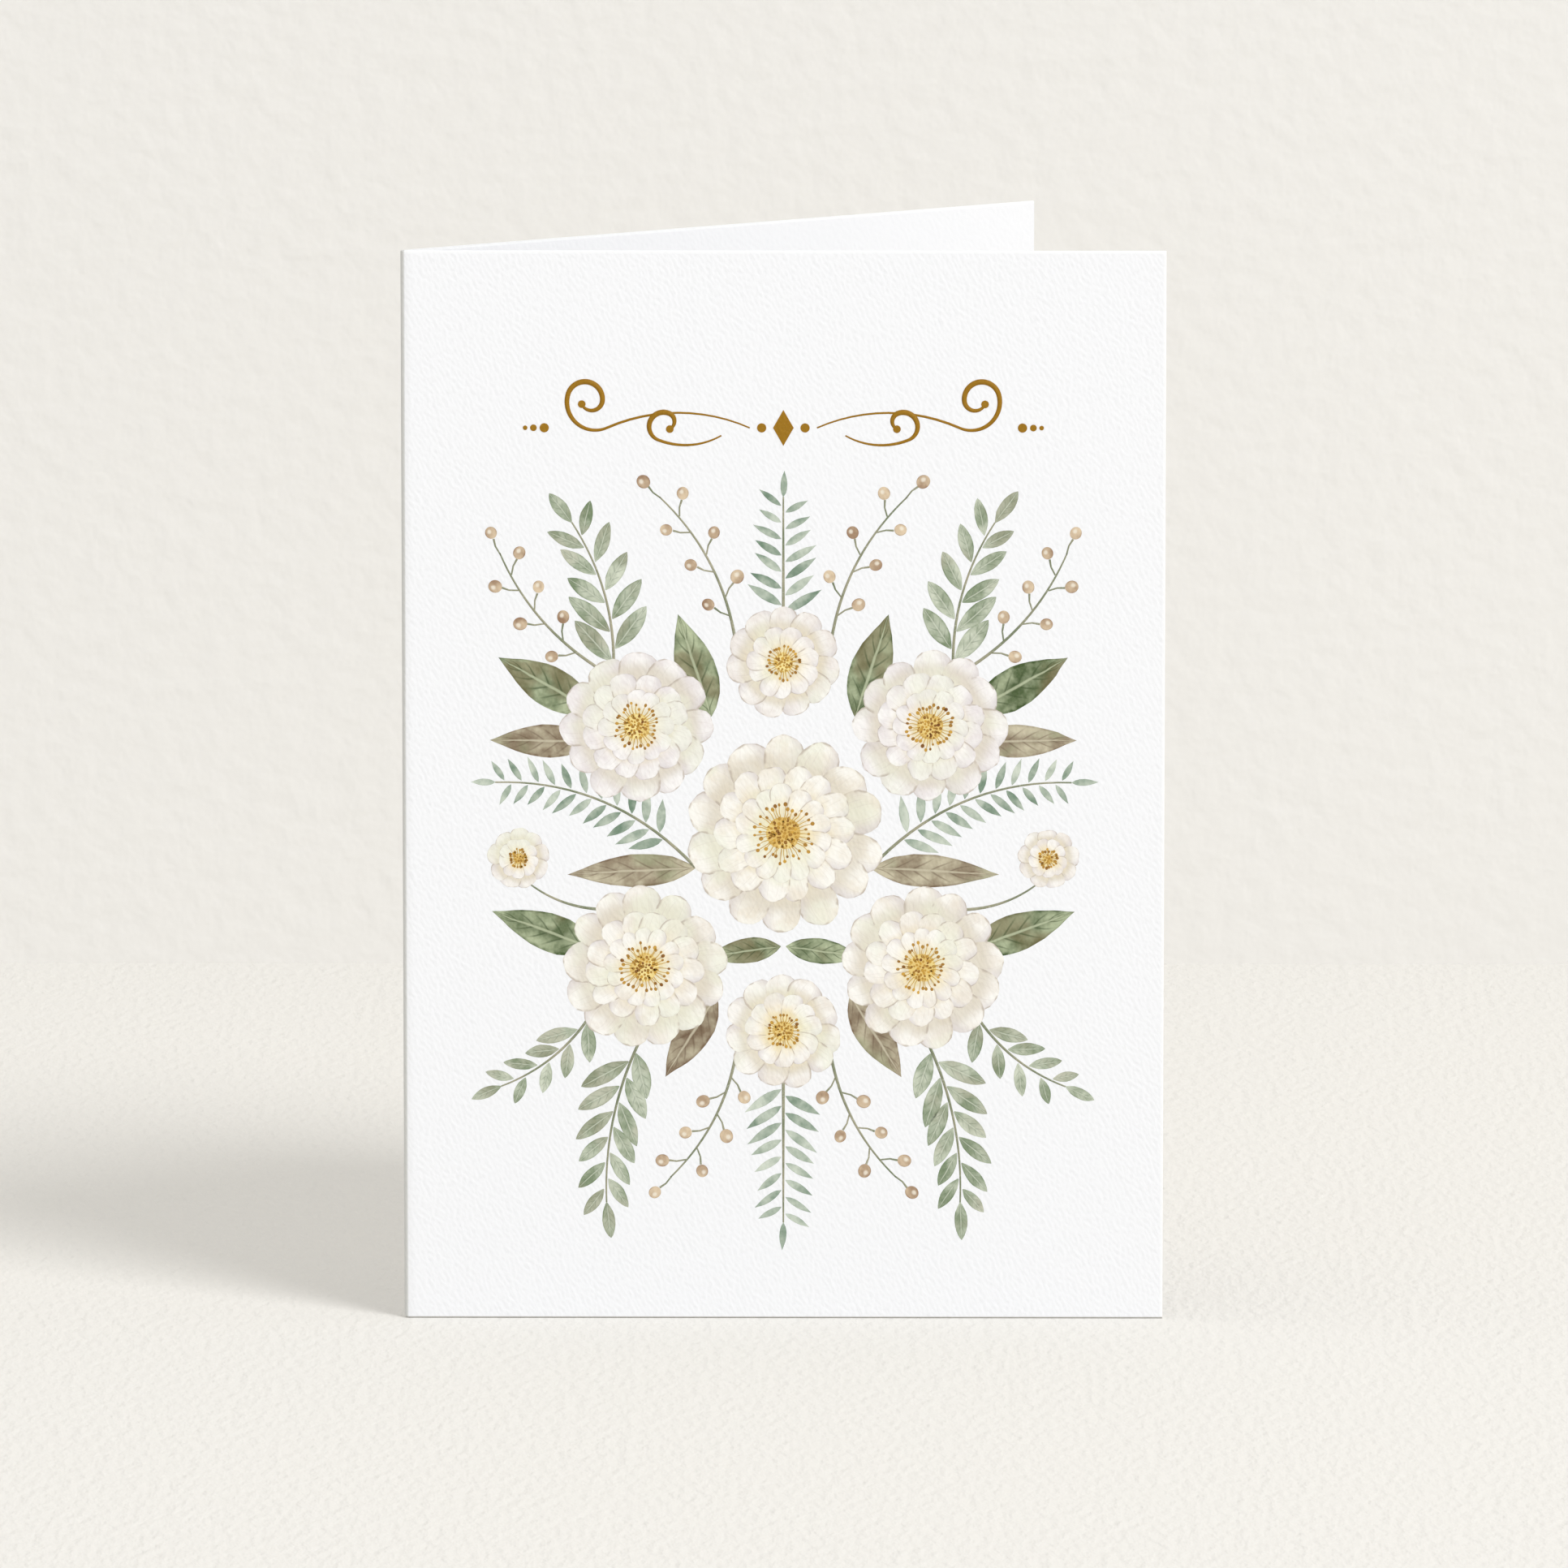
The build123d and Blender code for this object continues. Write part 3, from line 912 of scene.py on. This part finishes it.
# %% Draw lines as strokes
def draw_strokes(name, lines, paint, lift=0.0):
    """Draws lines as one piece. Each is its points and its start, middle and end width."""
    corners, edges, widths = [], [], []
    for points, (start, middle, end) in lines:
        first = len(corners)
        for number, point in enumerate(points):
            share = number / (len(points) - 1)
            straight = start + (end - start) * share
            swell = (middle - (start + end) / 2) * math.sin(math.pi * share)
            corners.append((*point, 0))
            widths.append((straight + swell) * mm)
        edges += [(i, i + 1) for i in range(first, len(corners) - 1)]
    mesh = bpy.data.meshes.new(name + "_lines")
    mesh.from_pydata(corners, edges, [])
    mesh.attributes.new("width", "FLOAT", "POINT").data.foreach_set("value", widths)
    tones = [random.random()] * len(corners)
    mesh.attributes.new("tone", "FLOAT", "POINT").data.foreach_set("value", tones)
    piece = run_tree(name, mesh, strokes, {"Paint": paint, "Lift": lift * mm})
    print(name, "has", len(lines), "strokes and", len(piece.data.polygons), "faces")
    return piece


# %% [markdown]
# ## Stems and the berries' stalks
#
# A stem starts a little behind its foot, so that the flower or the leaf there hides its
# end. A berry's stalk leaves the stem where a leaf would, bends a little, and gets wider
# where it holds the berry. Stems have dry gaps where the brush skipped over the grain.

# %% Stems and the berries' stalks
stem_paint, tree, shader, *_ = new_finish("stem_paint", 0.8)
stem_place = here(tree)
stem_clouds = soft_step(tree, clouds(tree, stem_place, 0.006, 2.0), 0.3, 0.7)
stem_colour = blend(tree, stem_clouds, seen(122, 132, 104), seen(168, 164, 140))
stem_grain = soft_step(tree, clouds(tree, stem_place, 0.0004, 2.0, 0.7), 0.5, 0.8, 0.0, 0.5)
stem_colour = blend(tree, stem_grain, stem_colour, seen(214, 214, 200))
tree.links.new(stem_colour, shader.inputs["Base Color"])

stem_widths, stalk_widths = (0.62, 0.46, 0.3), (0.3, 0.32, 0.42)
stem_steps = 18
stem_lines = []
for tucked, stems in ((0.1, leaf_sprigs + berry_sprigs + flower_stalks), (0.17, side_ferns)):
    for hand, stem in mirrored(stems):
        line_of_stem = stem_line(hand, *stem[:3])
        shares = [-tucked + (1 + tucked) * step / stem_steps for step in range(stem_steps + 1)]
        points = [along_stem(line_of_stem, share)[0] for share in shares]
        stem_lines.append((points, stem_widths))
for stem in middle_ferns:
    start, run, _ = stem_line(1, *stem[:3])
    stem_lines.append(([start, start + run], stem_widths))

berry_radius, berry_reach, berry_pitch, berry_spread = 1.3, 3.0, 9.4, math.radians(48)
quarter_turn = 1.57
berries = []
for hand, (foot, tip, bow) in mirrored(berry_sprigs):
    stem = stem_line(hand, foot, tip, bow)
    for point, angle, _ in leaf_places(hand, stem, berry_pitch, berry_spread):
        end = point + ahead(angle, berry_reach * mm)
        bend = (point + end) / 2 + ahead(angle + quarter_turn, 0.25 * mm)
        stem_lines.append(([point - ahead(angle, 0.3 * mm), bend, end], stalk_widths))
        berries.append((end + ahead(angle, berry_radius * mm), angle))
stem_piece = draw_strokes("stems", stem_lines, stem_paint)

# %% [markdown]
# ## Berries
#
# A painted berry is a round drop of colour, deep on one side where the brush left its
# last pigment and almost bare paper where the light strikes it. A second, pale film could
# be that light spot, but in the paint it has a soft rim.

# %% Berries
round_film = new_film("round_film", round_outline, 12, 6)
berry_paint, tree, shader, laid = new_paint(
    "berry_paint", seen(150, 118, 92), seen(226, 206, 176), 0.45, 0.75
)
light_at = (0.62, 0.62, 0)
to_light = add(
    tree, "ShaderNodeVectorMath", {0: on_film(tree), 1: light_at}, operation="DISTANCE"
)
light_spot = soft_step(tree, to_light.outputs["Value"], 0.26, 0.08, 0.0, 0.8)
berry_colour = blend(tree, light_spot, laid.outputs["Color"], seen(240, 232, 216))
tree.links.new(berry_colour, shader.inputs["Base Color"])
berry_places = []
for point, angle in berries:
    size = berry_radius * 2 * random.uniform(0.92, 1.08)
    root, tone = point - ahead(angle, size * mm / 2), random.random()
    berry_places.append(film_at(root, angle, size, size * 0.92, thickness["berry"], tone=tone))
berry_piece = print_films("berries", round_film, berry_places, berry_paint, 0.2, 5.0)

# %% [markdown]
# ## Flowers
#
# The petals are almost as white as the paper, so an outline alone would look like a line
# drawing. They show by what lies beside the white: a warm glow in the heart, a grey shade
# below the next ring, a cool one on the side that tucks under a neighbour, fine strands
# along the petal, and a thin broken outline. Each flower has its own mixture of a warm
# and a cool white.

# %% Petal paint
petal_paint, tree, shader, laid = new_paint(
    "petal_paint", seen(232, 222, 202), seen(251, 249, 242), 0.26, 0.5
)
cool_wash = blend(tree, laid.outputs["Cloud"], seen(250, 248, 248), seen(233, 227, 232))
petal_colour = blend(tree, kept(tree, "warmth"), cool_wash, laid.outputs["Color"])
past_ring = sum_of(tree, "SUBTRACT", laid.outputs["Along"], kept(tree, "hidden"))
below_ring = soft_step(tree, past_ring, 0.22, 0.0, 0.0, 0.72)
glow = soft_step(tree, laid.outputs["Along"], 0.85, 0.15, 0.0, 0.8)
glow = sum_of(tree, "MULTIPLY", glow, soft_step(tree, laid.outputs["Cloud"], 0.0, 1.0, 0.5, 1.0))
glow = sum_of(tree, "MULTIPLY", glow, kept(tree, "heart"))
tucked = soft_step(tree, laid.outputs["Across"], -0.2, -0.98, 0.0, 0.62)
fresh = soft_step(tree, clouds(tree, here(tree), 0.011, 2.0), 0.5, 0.66, 0.0, 0.5)
strands = clouds(tree, on_film(tree), (0.9, 0.055, 1.0), 2.0, 0.6)
strand = soft_step(tree, strands, 0.54, 0.7, 0.0, 0.36)
outline = soft_step(tree, laid.outputs["Edge"], 0.15, 0.9, 0.0, 0.75)
petal_shades = [
    (below_ring, (216, 208, 192)),
    (glow, (249, 230, 166)),
    (tucked, (214, 207, 208)),
    (fresh, (236, 239, 218)),
    (strand, (208, 198, 188)),
    (outline, (186, 174, 162)),
]
petal_colour = layered(tree, petal_colour, petal_shades)
tree.links.new(petal_colour, shader.inputs["Base Color"])
print("The petal paint has", len(tree.nodes), "nodes")

# %% [markdown]
# ## Rings of petals
#
# Each flower is two or three rings of petals, the outer one as large as the CAD's flower
# and each inner one smaller and turned by half a petal. Upper films are a few thousandths
# of a millimetre thicker, which is enough for them to cover the lower ones. A petal's film
# is also a little thicker on one side, so all round the flower each petal lies over one
# neighbour and under the other, which stacked flat petals couldn't do.

# %% Petals
petal_film = new_film("petal_film", petal_outline, 14, 8, 0.07)
large_flower = 13  # the radius above which a flower has three rings
flowers = []
for hand, (sideways, up, radius) in [(1, f) for f in middle_flowers] + mirrored(side_flowers):
    flowers.append((on_cover(hand * sideways, up), radius, round(7 + 0.36 * radius)))

petal_places = []
for number, (centre, radius, petals) in enumerate(flowers):
    rings = [(1.0, 0.0), (0.66, 0.5)]
    if radius > large_flower:
        rings = [(1.0, 0.0), (0.72, 0.5), (0.5, 0.0)]
    warmth_of_flower = (0.95, 0.7, 0.5, 0.25, 0.25, 0.8, 0.8, 0.6, 0.6)[number]
    for ring, (share, half_turn) in enumerate(rings):
        next_share = rings[ring + 1][0] if ring + 1 < len(rings) else 0.3
        for petal in range(petals):
            angle = math.pi / 2 + (petal + half_turn) * 2 * math.pi / petals
            root = 0.12 * radius * share
            long = (radius * share - root) * random.uniform(0.95, 1.02)
            wide = 2.35 * radius * share * 0.8 * math.sin(math.pi / petals)
            petal_places.append(
                film_at(
                    centre + ahead(angle, root * mm),
                    angle + random.uniform(-0.07, 0.07),
                    long,
                    wide * random.uniform(0.94, 1.14),
                    thickness["petal"] + 0.008 * ring,
                    tone=random.random(),
                    warmth=warmth_of_flower,
                    hidden=next_share * random.uniform(0.9, 1.0),
                    heart=(0.35, 0.8, 1.0)[ring + (3 - len(rings))],
                )
            )
petal_piece = print_films("petals", petal_film, petal_places, petal_paint, 0.9, 6.0)

# %% [markdown]
# ## Hearts of the flowers
#
# A heart is a soft ochre disc with a crowd of stamens: fine hairs that reach out over the
# petals, each with a dot of brown or ochre at its end, and more dots on the disc. Dots in
# random places would clump, so these follow the spiral of a sunflower, which fills a
# round area evenly.

# %% Heart paints
heart_paint, *_ = new_paint("heart_paint", seen(214, 172, 84), seen(247, 228, 156), 0.42, 0.2)
dot_paint, *_ = new_paint("dot_paint", seen(126, 80, 38), seen(214, 168, 74), 0.5, 0.3)
hair_paint, tree, shader, *_ = new_finish("hair_paint", 0.8)
shader.inputs["Base Color"].default_value = seen(206, 168, 88)
print("The scene has", len(bpy.data.materials), "materials so far")

# %% [markdown]
# A heart's size follows from its flower's radius, and the number of its dots and hairs
# from its size, so that large and small flowers are filled alike. The hairs could be drawn
# film by film, but as strokes they may bend a little.

# %% Hearts
golden_angle = 2.39996
hair_widths = (0.2, 0.15, 0.12)
hair_lift = 0.045
heart_places, dot_places, hair_lines = [], [], []


def disc_at(point, radius, thick, **paint_values):
    """The place of a round film with this middle and this radius in millimetres."""
    size = 2 * radius
    return film_at(point - ahead(0, radius * mm), 0.0, size, size, thick, **paint_values)


def add_dot(centre, away, angle, dot):
    """Lists one stamen's dot, of this diameter in millimetres."""
    root, width = centre + ahead(angle, (away - dot / 2) * mm), dot * random.uniform(0.75, 0.95)
    tone = random.random()
    dot_places.append(film_at(root, angle, dot, width, thickness["stamen"], tone=tone))


for centre, radius, _ in flowers:
    heart = 0.17 * radius
    heart_places.append(disc_at(centre, heart, thickness["heart"], tone=random.random()))
    size = 0.62 + radius / 60
    count = round(0.62 * (2 * heart / (0.67 * size)) ** 2)
    for number in range(count):
        share = math.sqrt((number + 0.5) / count)
        angle = number * golden_angle + random.uniform(-0.2, 0.2)
        add_dot(centre, heart * 0.95 * share, angle, size * random.uniform(0.5, 0.85))
    hairs = int(16 + radius * 1.1)
    for number in range(hairs):
        angle = (number + random.uniform(-0.3, 0.3)) * 2 * math.pi / hairs
        start = heart * random.uniform(0.75, 0.95)
        end = heart * random.uniform(1.3, 1.85)
        bend = centre + ahead(angle + random.uniform(-0.06, 0.06), (start + end) / 2 * mm)
        points = [centre + ahead(angle, start * mm), bend, centre + ahead(angle, end * mm)]
        hair_lines.append((points, hair_widths))
        add_dot(centre, end, angle, size * random.uniform(0.6, 0.95))
heart_piece = print_films("hearts", round_film, heart_places, heart_paint, 1.2, 8.0)
hair_piece = draw_strokes("stamen_hairs", hair_lines, hair_paint, hair_lift)
dot_film = new_film("dot_film", round_outline, 6, 2)
dot_piece = print_films("stamens", dot_film, dot_places, dot_paint, 0.15, 9.0)

# %% [markdown]
# ## The gold ornament
#
# The ornament is two mirrored pairs of scrolls with beads and a lozenge between them. A
# scroll could be a drawn curve, but it is simpler to list as a chain of arcs, each with a
# radius and the degrees that it turns.

# %% The ornament's list
bouquet_height, gap_to_ornament = 154.0, 3.0
ornament_foot = bouquet_foot + bouquet_height + gap_to_ornament
middle_line = 4.5  # how far the beads' and the lozenge's middles are above that foot
lozenge_length, lozenge_width = 7.0, 4.0
pen_widths, pen_lift, end_bead = (0.3, 1.05, 0.5), 0.01, 0.75
scrolls = [
    ((6.5, 4.5), 24, [(34, -48), (5.5, 130), (3.4, 170), (2.1, 150)]),
    ((12, 3.0), -30, [(14, 52), (2.8, 180), (1.7, 130)]),
]
beads = [(4.2, 0.9), (46.3, 0.9), (48.4, 0.65), (50.0, 0.45)]


def scroll_points(start, heading, turns):
    """Points along a scroll, in millimetres from the ornament's foot."""
    at, angle = Vector(start), math.radians(heading)
    points = [at]
    for radius, turn in turns:
        side = math.copysign(math.pi / 2, turn)
        centre = at + ahead(angle + side, radius)
        steps = max(6, abs(turn) // 4)
        for step in range(steps):
            angle += math.radians(turn) / steps
            at = centre - ahead(angle + side, radius)
            points.append(at)
    return points


print("The long scroll has", len(scroll_points(*scrolls[0])), "points")

# %% [markdown]
# The scroll's line swells and thins, as a broad pen draws it, and ends in a bead. Gold
# could be one cut-out shape, but the films and strokes of the bouquet draw it just as well.

# %% Gold scrolls, beads and lozenge
def on_ornament(sideways, up):
    """A point of the ornament in metres, across the cover and up it."""
    return Vector((sideways, ornament_foot + up)) * mm


scroll_lines, bead_places = [], []
for hand, (start, heading, turns) in mirrored(scrolls):
    on_card = [on_ornament(hand * p.x, p.y) for p in scroll_points(start, heading, turns)]
    scroll_lines.append((on_card, pen_widths))
    bead_places.append(disc_at(on_card[-1], end_bead, thickness["gold"]))
for hand, (sideways, radius) in mirrored(beads):
    bead_middle = on_ornament(hand * sideways, middle_line)
    bead_places.append(disc_at(bead_middle, radius, thickness["gold"]))
scroll_piece = draw_strokes("gold_scrolls", scroll_lines, gold, pen_lift)
bead_film = new_film("bead_film", round_outline, 16, 8)
bead_piece = print_films("gold_beads", bead_film, bead_places, gold, 0.0, 10.0)
lozenge_film = new_film("lozenge_film", [(0, 0.0), (0.5, 1.0), (1, 0.0)], 6, 4)
lozenge_root = on_ornament(0, middle_line - lozenge_length / 2)
lozenge_place = film_at(
    lozenge_root, math.pi / 2, lozenge_length, lozenge_width, thickness["gold"]
)
lozenge_piece = print_films("gold_lozenge", lozenge_film, [lozenge_place], gold, 0.0, 11.0)

# %% [markdown]
# ## Hand the pieces to the frame
#
# Every printed piece rides on the card's one body and stands for the CAD node whose field
# of colour it replaces, which is hidden. The table also lists the record's slot that its
# colour belongs to. The film shapes were only patterns to print from, so they go.

# %% Pieces and the nodes they stand for
printed = (
    (green_piece, "print_green_leaves", "green_ink"),
    (brown_piece, "print_brown_leaves", "brown_ink"),
    (sprig_piece, "print_sprig_leaves", "sprig_ink"),
    (fern_piece, "print_ferns", "fern_ink"),
    (stem_piece, "print_stems", "stem_ink"),
    (berry_piece, "print_berries", "berry_ink"),
    (petal_piece, "print_petals", "petal_ink"),
    (heart_piece, "print_discs", "disc_ink"),
    (hair_piece, "print_discs", "disc_ink"),
    (dot_piece, "print_discs", "disc_ink"),
    (scroll_piece, "print_gold_ornament", "gold_ink"),
    (bead_piece, "print_gold_ornament", "gold_ink"),
    (lozenge_piece, "print_gold_ornament", "gold_ink"),
)
for piece, node, slot in printed:
    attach(piece, "root")
    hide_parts(node)
leaf_films, round_films = [leaf_film, sprig_film, fern_film], [round_film, dot_film, bead_film]
for film in leaf_films + round_films + [petal_film, lozenge_film]:
    bpy.data.objects.remove(film)
print(len(printed), "printed pieces ride on the card")

# %% [markdown]
# ## Floor and wall
#
# The card stands on a pale warm floor a little way before a wall of the same colour,
# both with the fine unevenness of plaster. On the photo's floor that grain isn't
# flattened by the low angle, so here it is drawn out in depth until it looks as even from
# the photo's side. The wall can be seen only from its front, so that it doesn't hide the
# card when the camera goes round behind it.

# %% Stage
def new_stage(name, corners, colour, grain, height):
    """A plastered surface, with a grain of these sizes and this height. It gives its nodes."""
    mesh = bpy.data.meshes.new(name)
    mesh.from_pydata(corners, [], [(0, 1, 2, 3)])
    stage = new_object(name, mesh)
    material = bpy.data.materials.new(name)
    material.use_nodes = True
    tree = material.node_tree
    shader = tree.nodes["Principled BSDF"]
    shader.inputs["Base Color"].default_value = colour
    shader.inputs["Roughness"].default_value = 0.95
    shader.inputs["Specular IOR Level"].default_value = 0.0
    plaster = clouds(tree, here(tree), grain, 2.0, 0.45)
    bump = add(tree, "ShaderNodeBump", {"Height": plaster, "Distance": height})
    tree.links.new(bump.outputs["Normal"], shader.inputs["Normal"])
    mesh.materials.append(material)
    return tree, shader


wall_y = 0.37
floor_corners = [(-6, -6, 0), (6, -6, 0), (6, 6, 0), (-6, 6, 0)]
floor_colour, floor_grain = seen(232.6, 230.5, 225.8), (0.0021, 0.0052, 0.0021)
new_stage("floor", floor_corners, floor_colour, floor_grain, 0.0006)
wall_corners = [(-3, wall_y, 0), (3, wall_y, 0), (3, wall_y, 3), (-3, wall_y, 3)]
wall_colour, wall_grain = seen(237.9, 236.1, 232.2), (0.0052, 0.0052, 0.0054)
tree, shader = new_stage("wall", wall_corners, wall_colour, wall_grain, 0.00052)
behind = add(tree, "ShaderNodeNewGeometry").outputs["Backfacing"]
clear = add(tree, "ShaderNodeBsdfTransparent").outputs[0]
either = add(tree, "ShaderNodeMixShader", {0: behind, 1: shader.outputs[0], 2: clear})
tree.links.new(either.outputs[0], tree.nodes["Material Output"].inputs["Surface"])
print("The wall stands", wall_y, "m behind the card's middle")

# %% [markdown]
# ## Light
#
# A wide soft lamp stands to the right of the camera and above it. It throws the card's
# shadow back and to the left, and lights the inside of the back panel more squarely
# than the cover, which is why the inside is the whitest part of the photograph. A small
# lamp would give the shadow a hard edge, while a wide disc blurs it more the farther it
# falls. A bright even sky does the rest. Where the camera sees the sky itself, it has
# about the wall's colour.

# %% Lamp and sky
lamp_data = bpy.data.lights.new("window", "AREA")
lamp_data.shape = "DISK"
lamp_data.size = 3.75
lamp_data.energy = 380.0
lamp = new_object("window", lamp_data)
azimuth, elevation = math.radians(46), math.radians(44.5)
towards = Vector((math.sin(azimuth), -math.cos(azimuth), math.tan(elevation))).normalized()
lamp_distance = 9
lamp.location = Vector((0, 0, 0.08)) + towards * lamp_distance
lamp.rotation_euler = towards.to_track_quat("Z", "Y").to_euler()

world = bpy.data.worlds.new("sky")
bpy.context.scene.world = world
world.use_nodes = True
sky = world.node_tree
sky.nodes["Background"].inputs["Color"].default_value = (1, 1, 1, 1)
sky.nodes["Background"].inputs["Strength"].default_value = 0.72
backdrop = add(sky, "ShaderNodeBackground", {"Color": seen(239, 236, 229), "Strength": 1.0})
ray = add(sky, "ShaderNodeLightPath")
direct = sum_of(sky, "MAXIMUM", ray.outputs["Is Camera Ray"], ray.outputs["Is Glossy Ray"])
direct = sum_of(sky, "MAXIMUM", direct, ray.outputs["Is Transmission Ray"])
shown_sky = add(
    sky,
    "ShaderNodeMixShader",
    {0: direct, 1: sky.nodes["Background"].outputs[0], 2: backdrop.outputs[0]},
)
sky.links.new(shown_sky.outputs[0], sky.nodes["World Output"].inputs["Surface"])
bpy.context.scene.view_settings.view_transform = "Standard"
print("The lamp stands", lamp_distance, "m away and is", lamp_data.size, "m wide")
